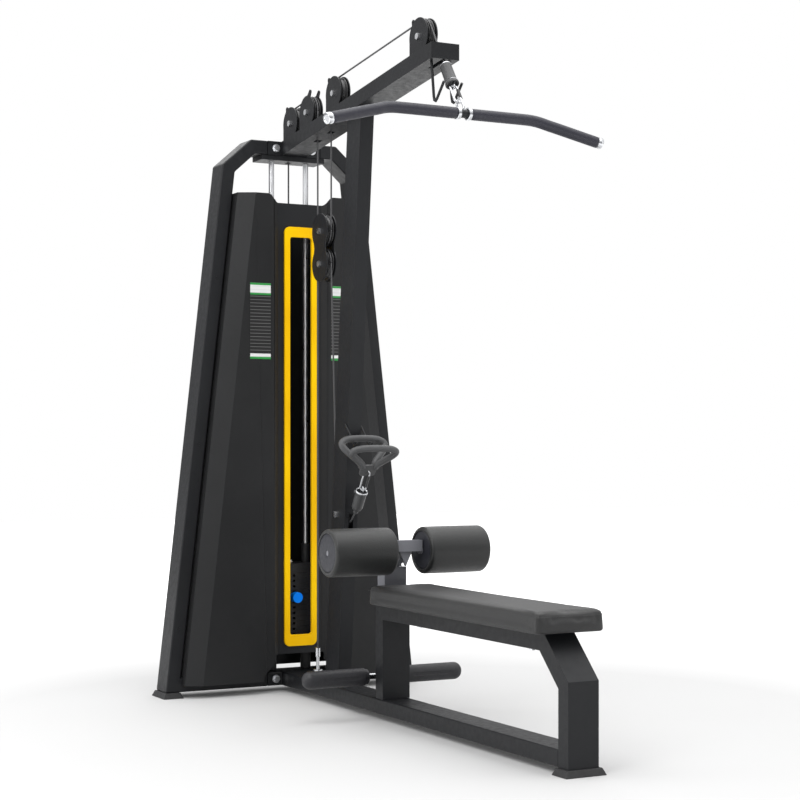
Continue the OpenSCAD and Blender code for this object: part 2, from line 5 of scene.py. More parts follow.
import bmesh
import bpy
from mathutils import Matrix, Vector


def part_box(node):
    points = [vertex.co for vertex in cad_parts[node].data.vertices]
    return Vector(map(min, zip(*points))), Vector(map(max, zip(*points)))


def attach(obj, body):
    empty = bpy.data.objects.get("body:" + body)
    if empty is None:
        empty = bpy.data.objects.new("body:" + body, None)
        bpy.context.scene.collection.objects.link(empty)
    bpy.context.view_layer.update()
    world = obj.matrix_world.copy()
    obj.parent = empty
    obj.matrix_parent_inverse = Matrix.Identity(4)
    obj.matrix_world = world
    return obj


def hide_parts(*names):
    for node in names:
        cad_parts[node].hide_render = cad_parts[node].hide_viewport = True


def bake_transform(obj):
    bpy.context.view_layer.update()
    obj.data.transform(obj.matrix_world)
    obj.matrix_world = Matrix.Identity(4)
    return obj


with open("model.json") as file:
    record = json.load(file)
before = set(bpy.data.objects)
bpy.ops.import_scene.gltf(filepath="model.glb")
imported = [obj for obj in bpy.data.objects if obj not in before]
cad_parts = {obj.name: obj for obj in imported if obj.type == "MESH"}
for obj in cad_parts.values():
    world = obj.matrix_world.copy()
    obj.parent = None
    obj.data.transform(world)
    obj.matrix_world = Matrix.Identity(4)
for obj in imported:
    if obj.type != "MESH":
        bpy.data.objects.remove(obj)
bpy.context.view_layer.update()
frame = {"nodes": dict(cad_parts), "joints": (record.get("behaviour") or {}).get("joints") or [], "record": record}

NODES = frame["nodes"]
JOINTS = {j["name"]: j for j in frame["joints"]}


# ---- camera ----------------------------------------------------------------

# The photograph's view: level, from the front left, 0.92 m above the floor.
VIEW_TURN = 28.03
FRONT_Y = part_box("side_frame_left")[0].y
CAMERA_AT = Vector((-2.722, FRONT_Y - 5.939, 0.923))
LENS = 80.05
RISE = 0.0475


def make_camera():
    data = bpy.data.cameras.new("camera")
    data.sensor_width = 36
    data.lens = LENS
    data.shift_y = RISE
    data.clip_end = 60
    cam = bpy.data.objects.new("camera", data)
    cam.location = CAMERA_AT
    cam.rotation_euler = (math.radians(90), 0, math.radians(-VIEW_TURN))
    bpy.context.collection.objects.link(cam)
    bpy.context.scene.camera = cam


make_camera()


# ---- materials -------------------------------------------------------------

class Paint:
    """A material under construction: its node tree, shader and object coordinates."""

    def __init__(self, name, color, rough=0.5, metal=0.0, **sockets):
        self.mat = bpy.data.materials.new(name)
        self.mat.use_nodes = True
        self.tree = self.mat.node_tree
        self.shader = self.tree.nodes["Principled BSDF"]
        self.shader.inputs["Base Color"].default_value = (*color, 1)
        self.shader.inputs["Roughness"].default_value = rough
        self.shader.inputs["Metallic"].default_value = metal
        for key, value in sockets.items():
            self.shader.inputs[key.replace("_", " ")].default_value = value
        self.coords = self.tree.nodes.new("ShaderNodeTexCoord").outputs["Object"]
        self.normal = None

    def node(self, kind, **values):
        made = self.tree.nodes.new(kind)
        for key, value in values.items():
            if key in made.inputs.keys():
                made.inputs[key].default_value = value
            else:
                setattr(made, key, value)
        return made

    def link(self, a, b):
        self.tree.links.new(a, b)

    def noise(self, scale, detail=2.0, rough=0.5, stretch=None):
        made = self.node("ShaderNodeTexNoise", Scale=scale, Detail=detail, Roughness=rough)
        where = self.coords
        if stretch:
            mapping = self.node("ShaderNodeMapping", Scale=stretch)
            self.link(where, mapping.inputs["Vector"])
            where = mapping.outputs["Vector"]
        self.link(where, made.inputs["Vector"])
        return made.outputs["Fac"]

    def cells(self, scale, feature):
        made = self.node("ShaderNodeTexVoronoi", Scale=scale, feature=feature)
        self.link(self.coords, made.inputs["Vector"])
        return made.outputs["Distance"]

    def remap(self, value, lo, hi, out_lo, out_hi):
        made = self.tree.nodes.new("ShaderNodeMapRange")
        for key, number in (("From Min", lo), ("From Max", hi), ("To Min", out_lo), ("To Max", out_hi)):
            made.inputs[key].default_value = number
        self.link(value, made.inputs["Value"])
        return made.outputs["Result"]

    def mix(self, fac, a, b):
        """Colour between a and b, which are colours or outputs."""
        made = self.tree.nodes.new("ShaderNodeMix")
        made.data_type = "RGBA"
        self.link(fac, made.inputs["Factor"])
        for slot, value in ((6, a), (7, b)):
            if isinstance(value, tuple):
                made.inputs[slot].default_value = (*value, 1)
            else:
                self.link(value, made.inputs[slot])
        return made.outputs[2]

    def set_color(self, output):
        self.link(output, self.shader.inputs["Base Color"])

    def set_rough(self, value, lo, hi, out_lo, out_hi):
        self.link(self.remap(value, lo, hi, out_lo, out_hi), self.shader.inputs["Roughness"])

    def bump(self, height, strength, distance):
        made = self.node("ShaderNodeBump", Strength=strength, Distance=distance)
        self.link(height, made.inputs["Height"])
        if self.normal:
            self.link(self.normal, made.inputs["Normal"])
        self.normal = made.outputs["Normal"]
        self.link(self.normal, self.shader.inputs["Normal"])


def shade(color, k):
    return tuple(min(1.0, c * k) for c in color)


def powder_coat(name, color, rough=0.42, texture=0.3, gloss=0.3):
    """Baked powder coat: fine orange peel, faint cloudiness and a few scuffed spots."""
    p = Paint(name, color, rough, Specular_IOR_Level=gloss)
    cloud = p.noise(3.5, 4.0)
    p.set_color(p.mix(p.remap(cloud, 0.35, 0.65, 0, 1), shade(color, 0.88), shade(color, 1.14)))
    p.set_rough(p.noise(60, 3.0), 0.3, 0.7, rough - 0.05, rough + 0.07)
    p.bump(p.noise(900, 2.0), texture, 0.0004)
    p.bump(p.noise(170, 2.0), texture * 0.5, 0.0005)
    return p.mat


def polished(name, color, rough, hairline=0.04):
    """Chrome or zinc plate with faint hairlines and handling marks."""
    p = Paint(name, color, rough, 1.0)
    p.set_rough(p.noise(45, 5.0), 0.3, 0.75, rough * 0.7, rough + 0.12)
    p.set_color(p.mix(p.noise(20, 2.0), shade(color, 0.92), shade(color, 1.05)))
    if hairline:
        p.bump(p.noise(700, 2.0, 0.5, (1, 1, 0.15)), hairline, 0.0002)
    return p.mat


def leather(name, color, grain, rough=0.48):
    """Grained upholstery vinyl: pebbles, creases between them and a soft sheen."""
    p = Paint(name, color, rough, Sheen_Weight=0.08, Sheen_Roughness=0.5)
    pebble = p.cells(grain, "SMOOTH_F1")
    crease = p.cells(grain * 0.62, "DISTANCE_TO_EDGE")
    p.set_color(p.mix(p.noise(7, 4.0), shade(color, 0.82), shade(color, 1.2)))
    p.set_rough(pebble, 0.0, 0.9, rough - 0.1, rough + 0.12)
    p.bump(pebble, 0.45, 0.0008)
    p.bump(p.remap(crease, 0.0, 0.09, 0, 1), 0.35, 0.0005)
    return p.mat


def rubber(name, color, rough=0.62, bump=0.25):
    """Moulded rubber or foam skin with a dusty bloom."""
    p = Paint(name, color, rough)
    p.set_color(p.mix(p.noise(14, 5.0), shade(color, 0.8), shade(color, 1.35)))
    p.set_rough(p.noise(120, 3.0), 0.3, 0.7, rough - 0.08, rough + 0.1)
    p.bump(p.noise(650, 3.0), bump, 0.0006)
    return p.mat


def moulded(name, color, rough, gloss=0.5):
    """Moulded plastic with faint flow marks."""
    p = Paint(name, color, rough, Specular_IOR_Level=gloss)
    p.set_color(p.mix(p.noise(30, 3.0), shade(color, 0.92), shade(color, 1.08)))
    p.set_rough(p.noise(90, 2.0), 0.3, 0.7, rough - 0.05, rough + 0.08)
    p.bump(p.noise(380, 2.0), 0.08, 0.0004)
    return p.mat


def cast_iron(name, color):
    """Painted cast weight plate with a sandy skin."""
    p = Paint(name, color, 0.55, 0.2)
    p.set_color(p.mix(p.noise(25, 5.0), shade(color, 0.7), shade(color, 1.5)))
    p.set_rough(p.noise(60, 3.0), 0.3, 0.7, 0.45, 0.7)
    p.bump(p.noise(420, 4.0), 0.35, 0.0008)
    return p.mat


def wire_rope(name, color):
    """Coated steel cable: the strands' twist shows as slanting ridges, with painted shade in their grooves and a
    painted highlight on their crests.
    """
    p = Paint(name, color, 0.4, 0.1)
    wave = p.node("ShaderNodeTexWave", Scale=260.0, Distortion=0.6, bands_direction="DIAGONAL")
    p.link(p.coords, wave.inputs["Vector"])
    # Colour follows the ridges: painted shade in the grooves, painted highlight on the crests.
    p.set_color(p.mix(wave.outputs["Fac"], shade(color, 0.75), shade(color, 1.2)))
    p.bump(wave.outputs["Fac"], 0.4, 0.0004)
    return p.mat


def placard_print(name, lo, hi):
    """Plain sticker: a pale head, a dark body ruled with faint lines, and two green bands."""
    p = Paint(name, (0.9, 0.9, 0.9), 0.35)
    split = p.node("ShaderNodeSeparateXYZ")
    p.link(p.coords, split.inputs["Vector"])
    up = p.remap(split.outputs["Z"], lo, hi, 0, 1)
    bands = p.node("ShaderNodeValToRGB")
    ramp = bands.color_ramp
    ramp.interpolation = "CONSTANT"
    stops = [(0.0, (0.02, 0.3, 0.05)), (0.03, (0.8, 0.8, 0.8)), (0.07, (0.01, 0.01, 0.01)),
             (0.84, (0.02, 0.3, 0.05)), (0.87, (0.8, 0.8, 0.8)), (0.97, (0.02, 0.3, 0.05))]
    ramp.elements[0].color = (*stops[0][1], 1)
    ramp.elements.remove(ramp.elements[1])
    for place, color in stops[1:]:
        ramp.elements.new(place).color = (*color, 1)
    p.link(up, bands.inputs["Fac"])
    rules = p.node("ShaderNodeTexWave", Scale=26.0, bands_direction="Z")
    p.link(p.coords, rules.inputs["Vector"])
    faint = p.remap(rules.outputs["Fac"], 0.86, 1.0, 0, 0.32)
    p.set_color(p.mix(faint, bands.outputs["Color"], (0.45, 0.45, 0.45)))
    return p.mat


COAT = powder_coat("charcoal_coat", (0.0100, 0.0106, 0.0122))
# Lighter copy of the charcoal coat for the shrouds: painted light, the whole shroud lightened for the light its
# facets catch from the left.
COAT_PAINTED_LIT = powder_coat("shroud_coat_painted_lit", (0.0135, 0.0138, 0.0146), 0.45)
YELLOW = powder_coat("yellow_coat", (0.98, 0.54, 0.0), 0.38, 0.12, 0.12)
CHROME = polished("chrome", (0.62, 0.63, 0.65), 0.18)
ZINC = polished("zinc_plate", (0.88, 0.89, 0.91), 0.32)
ROD_STEEL = polished("ground_rod", (0.90, 0.91, 0.93), 0.38, 0.0)
SATIN = powder_coat("satin_grey_coat", (0.185, 0.188, 0.208), 0.34, 0.2)
VINYL = leather("grained_vinyl", (0.0105, 0.0107, 0.0110), 360)
ROLLER_VINYL = leather("roller_vinyl", (0.0075, 0.0082, 0.0080), 300, 0.36)
RUBBER = rubber("black_rubber", (0.016, 0.016, 0.017))
FOAM = rubber("foot_roller_foam", (0.016, 0.016, 0.019), 0.5)
BAR_RUBBER = rubber("bar_rubber", (0.015, 0.015, 0.024), 0.5)
GRIP = rubber("grip_rubber", (0.060, 0.061, 0.063), 0.48, 0.12)
STOP_GREY = moulded("stop_grey", (0.045, 0.046, 0.048), 0.42)
NYLON = moulded("black_nylon", (0.018, 0.018, 0.019), 0.3)
BLUE = moulded("blue_knob", (0.0, 0.21, 0.92), 0.5, 0.1)
IRON = cast_iron("plate_iron", (0.02, 0.02, 0.022))
CABLE = wire_rope("cable_coat", (0.060, 0.060, 0.063))
DISC = moulded("roller_disc", (0.018, 0.019, 0.026), 0.45)
THREAD = moulded("thread", (0.05, 0.05, 0.052), 0.6)


# ---- mesh tools ------------------------------------------------------------

def link_object(name, mesh, mat):
    obj = bpy.data.objects.new(name, mesh)
    bpy.context.collection.objects.link(obj)
    mesh.materials.clear()
    mesh.materials.append(mat)
    return obj


def from_bmesh(name, bm, mat, smooth=True):
    mesh = bpy.data.meshes.new(name)
    bmesh.ops.recalc_face_normals(bm, faces=bm.faces[:])
    bm.to_mesh(mesh)
    bm.free()
    if smooth:
        mesh.shade_smooth()
    return link_object(name, mesh, mat)


def bake(obj):
    """Replaces obj's mesh by what its modifiers make."""
    graph = bpy.context.evaluated_depsgraph_get()
    mesh = bpy.data.meshes.new_from_object(obj.evaluated_get(graph))
    obj.modifiers.clear()
    obj.data = mesh
    return obj


def soften(obj, width, segments=3, angle=32):
    """Rounds the hard edges and keeps the flats flat."""
    bevel = obj.modifiers.new("edge", "BEVEL")
    bevel.width = width
    bevel.segments = segments
    bevel.limit_method = "ANGLE"
    bevel.angle_limit = math.radians(angle)
    bevel.use_clamp_overlap = True
    normals = obj.modifiers.new("flats", "WEIGHTED_NORMAL")
    normals.keep_sharp = False
    obj.data.shade_smooth()
    return bake(obj)


def body_of_node(node):
    """The moving body that the record puts the node in."""
    for body, names in frame["record"]["behaviour"]["bodies"].items():
        if node in names:
            return body


def finished_copy(node, mat, width=0.002, segments=3, angle=32):
    """The CAD node with its edges rounded, standing in for it on the same body."""
    bm = bmesh.new()
    bm.from_mesh(NODES[node].data)
    bmesh.ops.remove_doubles(bm, verts=bm.verts[:], dist=1e-5)
    bmesh.ops.dissolve_limit(bm, angle_limit=math.radians(1.2), verts=bm.verts[:],
                             edges=bm.edges[:])
    obj = from_bmesh(node + "_finish", bm, mat)
    soften(obj, width, segments, angle)
    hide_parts(node)
    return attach(obj, body_of_node(node))


def paint_node(node, mat):
    """Gives a CAD node its material."""
    obj = NODES[node]
    obj.data.materials.clear()
    obj.data.materials.append(mat)


def smooth_route(points, steps=8):
    """Catmull-Rom curve through the points."""
    pts = [2 * points[0] - points[1], *points, 2 * points[-1] - points[-2]]
    out = []
    for i in range(1, len(pts) - 2):
        a, b, c, d = pts[i - 1:i + 3]
        for k in range(steps):
            t = k / steps
            out.append(0.5 * (2 * b + (c - a) * t + (2 * a - 5 * b + 4 * c - d) * t * t
                              + (3 * b - a - 3 * c + d) * t ** 3))
    return [*out, points[-1].copy()]


def tube(name, points, radius, mat, sides, closed=False):
    """Round tube along points; radius is a number or one for each point."""
    n = len(points)
    radii = radius if isinstance(radius, list) else [radius] * n
    bm = bmesh.new()
    rings = []
    side = None
    for i, p in enumerate(points):
        before = points[i - 1] if closed or i else points[0]
        after = points[(i + 1) % n] if closed or i < n - 1 else points[-1]
        d = (after - before).normalized()
        if side is None:
            side = d.cross(Vector((1, 0, 0)) if abs(d.x) < 0.9 else Vector((0, 0, 1)))
        side = (side - side.dot(d) * d).normalized()
        up = d.cross(side)
        rings.append([bm.verts.new(p + radii[i] * (math.cos(a) * side + math.sin(a) * up))
                      for a in (2 * math.pi * k / sides for k in range(sides))])
    for i in range(n if closed else n - 1):
        a, b = rings[i], rings[(i + 1) % n]
        for k in range(sides):
            bm.faces.new((a[k], a[(k + 1) % sides], b[(k + 1) % sides], b[k]))
    if not closed:
        bm.faces.new(rings[0])
        bm.faces.new(rings[-1])
    return from_bmesh(name, bm, mat)


def lathe(name, profile, mat, at, axis, steps=48):
    """Turned piece: profile lists (distance along axis, radius) from at."""
    axis = Vector(axis).normalized()
    turn = Vector((0, 0, 1)).rotation_difference(axis).to_matrix()
    bm = bmesh.new()
    rings = []
    for along, radius in profile:
        if radius < 1e-6:
            rings.append([bm.verts.new(turn @ Vector((0, 0, along)) + Vector(at))])
            continue
        rings.append([bm.verts.new(turn @ Vector((radius * math.cos(a), radius * math.sin(a), along))
                                   + Vector(at))
                      for a in (2 * math.pi * k / steps for k in range(steps))])
    for a, b in zip(rings, rings[1:]):
        for k in range(steps):
            j = (k + 1) % steps
            corners = [a[k % len(a)], a[j % len(a)], b[j % len(b)], b[k % len(b)]]
            bm.faces.new(list(dict.fromkeys(corners)))
    obj = from_bmesh(name, bm, mat)
    return sharpen(obj, 38)


def sharpen(obj, angle):
    """Smooth shading that breaks at edges steeper than angle."""
    bm = bmesh.new()
    bm.from_mesh(obj.data)
    for e in bm.edges:
        e.smooth = len(e.link_faces) != 2 or e.calc_face_angle(0) < math.radians(angle)
    bm.to_mesh(obj.data)
    bm.free()
    return obj


def join(name, parts):
    """One object from several, keeping their materials."""
    bm = bmesh.new()
    mats = []
    for part in parts:
        offset = len(mats)
        mats += list(part.data.materials)
        start = len(bm.faces)
        bm.from_mesh(part.data)
        bm.faces.ensure_lookup_table()
        for f in bm.faces[start:]:
            f.material_index += offset
        bpy.data.objects.remove(part)
    mesh = bpy.data.meshes.new(name)
    bm.to_mesh(mesh)
    bm.free()
    obj = bpy.data.objects.new(name, mesh)
    bpy.context.collection.objects.link(obj)
    for mat in mats:
        mesh.materials.append(mat)
    return obj


def centre(node):
    lo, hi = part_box(node)
    return (lo + hi) / 2


# ---- frame and covers ------------------------------------------------------

SOCKET_ABOVE_PAD = 0.004

PAINTED_NODES = [
    (COAT, ("bar_hook", "handle_hooks", "panel_screws")),
    (ROD_STEEL, ("guide_rods", "selector_stem")),
    (CHROME, ("stack_cable_end", "foot_roller_shaft", "cable_anchor", "pop_pin", "lat_bar_caps")),
    (ZINC, ("pulley_axles", "block_axles", "frame_bolts", "seat_bolts")),
    (NYLON, ("pulley_front", "pulley_middle", "pulley_inner", "pulley_rear", "pulley_low",
             "block_wheel_upper", "block_wheel_lower")),
    (BLUE, ("selector_pin",)),
    (VINYL, ("seat_pad",)),
    (ROLLER_VINYL, ("thigh_roller_left", "thigh_roller_right")),
    (FOAM, ("foot_roller_left", "foot_roller_right")),
    (BAR_RUBBER, ("lat_bar",)),
    (GRIP, ("row_handle",)),
    (STOP_GREY, ("lat_bar_link", "row_link")),
    (CABLE, [n for n in NODES if "cable_" in n and n.startswith(("upper", "lower"))]),
]


def dress_frame():
    """Rounds the edges of the welded, sheet and cast pieces and gives them their coats."""
    for node in ("side_frame_left", "side_frame_right", "boom", "main_post", "base_beam",
                 "seat_frame"):
        copy = finished_copy(node, COAT, 0.005)
        if node == "seat_frame":
            copy.data.materials.append(SATIN)
            socket_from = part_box("seat_pad")[0].z + SOCKET_ABOVE_PAD
            for face in copy.data.polygons:
                face.material_index = int(face.center.z > socket_from)
    finished_copy("thigh_carriage", SATIN, 0.003, 2)
    for node, width in (("rod_plate", 0.001), ("pulley_guards", 0.0012), ("block_frame", 0.0012)):
        finished_copy(node, COAT, width, 2)
    # The shrouds take the lighter copy of the charcoal coat, whose extra lightness is painted light.
    for node in ("shroud_left", "shroud_right"):
        finished_copy(node, COAT_PAINTED_LIT, 0.0014, 2, 12)
    for node in ("centre_panel", "rear_panel"):
        finished_copy(node, COAT, 0.0008, 2)
    finished_copy("window_trim", YELLOW, 0.004, 4, 50)
    for node in ("plates_resting", "plates_lifted", "head_plate"):
        finished_copy(node, IRON, 0.0015, 2)
    finished_copy("feet", RUBBER, 0.002)
    finished_copy("stack_buffers", RUBBER, 0.003)


def paint_nodes():
    """Colours the CAD nodes, those that stay in view and those that a finer piece replaces."""
    for mat, nodes in PAINTED_NODES:
        for node in nodes:
            paint_node(node, mat)
    lo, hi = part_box("placards")
    paint_node("placards", placard_print("placard_print", lo.z, hi.z))


dress_frame()
paint_nodes()


# ---- places taken from the frame -------------------------------------------

def along(a, b):
    return (b - a).normalized()


def arc(c, r, a, b, steps):
    """Arc about c in the YZ plane from angle a to b in degrees, from +Y towards +Z."""
    return [c + r * Vector((0, math.cos(math.radians(t)), math.sin(math.radians(t))))
            for t in (a + (b - a) * k / steps for k in range(steps + 1))]


def straight(a, b, steps):
    return [a.lerp(b, k / steps) for k in range(steps + 1)]


def groove_radius(wheel):
    lo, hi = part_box(wheel)
    return (hi.z - lo.z) / 2 - 0.002


PULL = Vector(JOINTS["bar_pull"]["axis"]).normalized()
FRONT, MIDDLE, INNER, REAR = (centre("pulley_" + k) for k in ("front", "middle", "inner", "rear"))
LOW = centre("pulley_low")
UPPER, LOWER = centre("block_wheel_upper"), centre("block_wheel_lower")
GROOVE = groove_radius("pulley_front")
LOW_GROOVE = groove_radius("pulley_low")
BAR_R = 0.0175
BAR = Vector((0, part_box("lat_bar")[1].y - BAR_R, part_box("lat_bar")[1].z - BAR_R))
STOP_TO_BAR = 0.202
STOP_TOP = BAR - STOP_TO_BAR * PULL
ROW_EXIT = Vector((0, FRONT_Y - 0.470, 0.640))
ROW_STOP = Vector((0, FRONT_Y - 0.509, 0.678))
ROW_NECK = Vector((0, FRONT_Y - 0.600, 0.822))
ROW_DIR = along(ROW_STOP, ROW_NECK)
CABLE_R = 0.003
WHEEL_GAP = 0.002


# ---- cables ----------------------------------------------------------------

def run_angle(a, b):
    """Angle at which a cable leaves pulley a's top for pulley b's."""
    return 90 + math.degrees(math.atan((b.z - a.z) / (b.y - a.y)))


def cable(name, points, body=None, blend=None):
    obj = tube(name, points, CABLE_R, CABLE, 10)
    if blend:
        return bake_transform(obj)
    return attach(obj, body)


def make_cables():
    """Both cables, run by run: fixed on the frame, riding the block, or baked in place where a run spans two
    bodies.
    """
    lift_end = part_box("stack_cable_end")[1].z
    down = Vector((0, 0, -WHEEL_GAP))
    rear_top = REAR + Vector((0, GROOVE, 0)) + down
    inner_side = INNER - Vector((0, GROOVE, 0)) + down
    middle_side = Vector((0, MIDDLE.y + GROOVE, inner_side.z))
    leave = FRONT + GROOVE * Vector((0, PULL.z, -PULL.y))

    stack = cable("cable_stack", straight(Vector((0, rear_top.y, lift_end)), rear_top, 40),
                  blend=("stack", "frame"))
    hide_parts("upper_cable_stack")

    over = run_angle(REAR, INNER)
    cable("cable_over_rear", [rear_top, *arc(REAR, GROOVE, 0, over, 16),
                              *arc(INNER, GROOVE, over, 180, 16), inner_side], "frame")
    over = run_angle(MIDDLE, FRONT)
    pull_turn = 90 + math.degrees(math.atan2(-PULL.z, -PULL.y))
    front = cable("cable_over_front", [middle_side, *arc(MIDDLE, GROOVE, 0, over, 16),
                                       *arc(FRONT, GROOVE, over, pull_turn, 16)], "frame")
    cable("cable_to_bar", straight(leave, STOP_TOP, 12), blend=("frame", "bar"))
    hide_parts("upper_cable_guided")

    for name, side in (("rear", inner_side), ("front", middle_side)):
        low = Vector((0, side.y, UPPER.z + 0.001))
        drop = cable("cable_drop_" + name, straight(side, low, 30), blend=("frame", "block"))
        if name == "front":
            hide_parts("upper_cable_drop")
    turn = cable("cable_under_block", arc(UPPER, GROOVE, -180, 0, 24), "block")
    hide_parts("upper_cable_turn")

    turn = cable("cable_over_block", arc(LOWER, GROOVE, 0, 180, 24), "block")
    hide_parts("lower_cable_turn")
    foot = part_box("cable_anchor")[1].z
    anchor = cable("cable_anchor_run",
                   straight(Vector((0, inner_side.y, foot)),
                            Vector((0, inner_side.y, LOWER.z - 0.001)), 40),
                   blend=("frame", "block"))
    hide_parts("lower_cable_anchor")
    entry = LOW + Vector((0, LOW_GROOVE, 0.060))
    post = cable("cable_post_run",
                 straight(entry, Vector((0, middle_side.y, LOWER.z - 0.001)), 40),
                 blend=("frame", "block"))
    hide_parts("lower_cable_post")

    low = cable("cable_round_low", [entry, *arc(LOW, LOW_GROOVE, 0, -150, 20), ROW_EXIT], "frame")
    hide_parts("lower_cable_exit")
    cable("cable_to_handle", straight(ROW_EXIT, ROW_STOP, 24), blend=("frame", "row"))


make_cables()


# ---- stops, links and handles ----------------------------------------------

def loop_points(a, b, half, across, steps=12):
    """Closed link with round ends from a to b, half wide towards across."""
    d = along(a, b)
    a, b = a + half * d, b - half * d
    pts = []
    for c, sign in ((a, 1), (b, -1)):
        for k in range(steps + 1):
            t = math.pi * k / steps
            pts.append(c + half * sign * (math.cos(t) * across - math.sin(t) * d))
    return pts


def make_carabiner(name, a, b, half, across, body, thick=0.004):
    """Spring link: a bent bar of even thickness, with a nylon sleeve over the gate on one side."""
    d = along(a, b)
    bar = tube(name + "_bar", loop_points(a, b, half, across), thick, CHROME, 14, closed=True)
    mid = a.lerp(b, 0.5) + half * across
    reach = 0.28 * (b - a).length
    sleeve = lathe(name + "_gate", [(0, thick + 0.0003), (0.001, thick + 0.0012),
                                    (2 * reach - 0.001, thick + 0.0012), (2 * reach, thick + 0.0003)],
                   NYLON, mid - reach * d, d, 20)
    for obj in (bar, sleeve):
        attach(obj, body)
    return bar


def make_bar_link():
    """Rubber stop on the lat cable, its bell-mouthed clip and the links down to the bar."""
    side = Vector((1, 0, 0))
    body = lathe("bar_stop", [(0.0, 0.004), (0.0, 0.0165), (0.0015, 0.0185), (0.070, 0.0192),
                              (0.0725, 0.0200), (0.075, 0.0215), (0.082, 0.0220), (0.084, 0.0205),
                              (0.083, 0.0175), (0.074, 0.0150), (0.070, 0.0)], STOP_GREY, STOP_TOP, PULL)
    cap = lathe("bar_stop_cap", [(-0.009, 0.0032), (-0.009, 0.0060), (-0.0035, 0.0070),
                                 (-0.003, 0.0150), (-0.001, 0.0178), (0.0015, 0.0190),
                                 (0.0040, 0.0190), (0.0045, 0.0184)], CHROME, STOP_TOP, PULL)
    ring = lathe("bar_stop_band", [(0.0700, 0.0190), (0.0702, 0.0200), (0.0718, 0.0206),
                                   (0.0722, 0.0199)], CHROME, STOP_TOP, PULL)
    eye = tube("bar_stop_eye", loop_points(STOP_TOP + 0.066 * PULL, STOP_TOP + 0.098 * PULL, 0.008,
                                           side.cross(PULL)), 0.0028, CHROME, 12, closed=True)
    for obj in (body, cap, ring, eye):
        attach(obj, "bar")
    make_carabiner("bar_clip", STOP_TOP + 0.086 * PULL, STOP_TOP + 0.156 * PULL, 0.0125, side, "bar")
    shackle = tube("bar_shackle", loop_points(STOP_TOP + 0.144 * PULL, BAR - 0.004 * PULL, 0.0150,
                                              side.cross(PULL)), 0.0036, CHROME, 14, closed=True)
    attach(shackle, "bar")
    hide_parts("lat_bar_link")


BAR_BEND = 0.272
COLLAR_AT = 0.019


def make_lat_bar():
    """Rubber-sleeved bar with bent ends, turned chrome end caps and centre collars."""
    lo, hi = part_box("lat_bar")
    half = hi.x - 0.005
    drop = (BAR.y - BAR_R - lo.y) / -PULL.y
    sleeves = []
    for s in (-1, 1):
        flat = [BAR + Vector((s * x, 0, 0)) + down * PULL for x, down in
                ((0.0245, 0), (0.0900, 0), (BAR_BEND - 0.070, 0), (BAR_BEND - 0.030, 0.0010),
                 (BAR_BEND, 0.0060), (BAR_BEND + 0.030, 0.0160), (BAR_BEND + 0.070, 0.0285))]
        end = BAR + Vector((s * half, 0, 0)) + drop * PULL
        route = smooth_route([*flat, flat[-1].lerp(end, 0.5), end], 8)
        radii = [BAR_R] * len(route)
        radii[0] = radii[-1] = BAR_R - 0.0022
        radii[1] = radii[-2] = BAR_R - 0.0004
        route[1] = route[0].lerp(route[1], 0.25)
        route[-2] = route[-1].lerp(route[-2], 0.25)
        sleeves.append(tube("sleeve", route, radii, BAR_RUBBER, 32))
        out = along(route[-3], end)
        caps = [lathe("bar_cap_" + ("left" if s < 0 else "right"),
                      [(-0.004, 0.0130), (-0.004, 0.0172), (-0.001, 0.0178), (0.0095, 0.0178),
                       (0.0118, 0.0160), (0.0120, 0.0120), (0.0108, 0.0110), (0.0108, 0.0)],
                      CHROME, end, out)]
        caps.append(lathe("bar_collar_" + ("left" if s < 0 else "right"),
                          [(-0.0055, 0.0150), (-0.0055, 0.0182), (-0.0045, 0.0195),
                           (0.0045, 0.0195), (0.0055, 0.0182), (0.0055, 0.0150)],
                          CHROME, Vector((s * COLLAR_AT, BAR.y, BAR.z)), Vector((s, 0, 0))))
        for cap in caps:
            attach(cap, "bar")
            if s > 0:
                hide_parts("lat_bar_caps")
    core = lathe("bar_core", [(0.0, 0.0), (0.0, 0.0135), (0.020, 0.0130), (0.028, 0.0130),
                              (0.048, 0.0135), (0.048, 0.0)], COAT,
                 Vector((-0.024, BAR.y, BAR.z)), Vector((1, 0, 0)))
    bar = join("bar_sleeves", sleeves)
    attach(core, "bar")
    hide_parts("lat_bar")
    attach(bar, "bar")


def grip_route(direction, length, half):
    """Centre line of a D grip that leaves the neck along direction."""
    u = Vector(direction).normalized()
    return smooth_route([ROW_NECK + u * length * a + Vector((half * b, 0, 0)) for a, b in
                         ((0.02, 0.28), (0.20, 0.36), (0.44, 0.62), (0.72, 0.92), (0.92, 0.98),
                          (1.06, 0.72), (1.10, 0.30), (1.10, -0.30), (1.06, -0.72), (0.92, -0.98),
                          (0.72, -0.92), (0.44, -0.62), (0.20, -0.36), (0.02, -0.28))], 6)


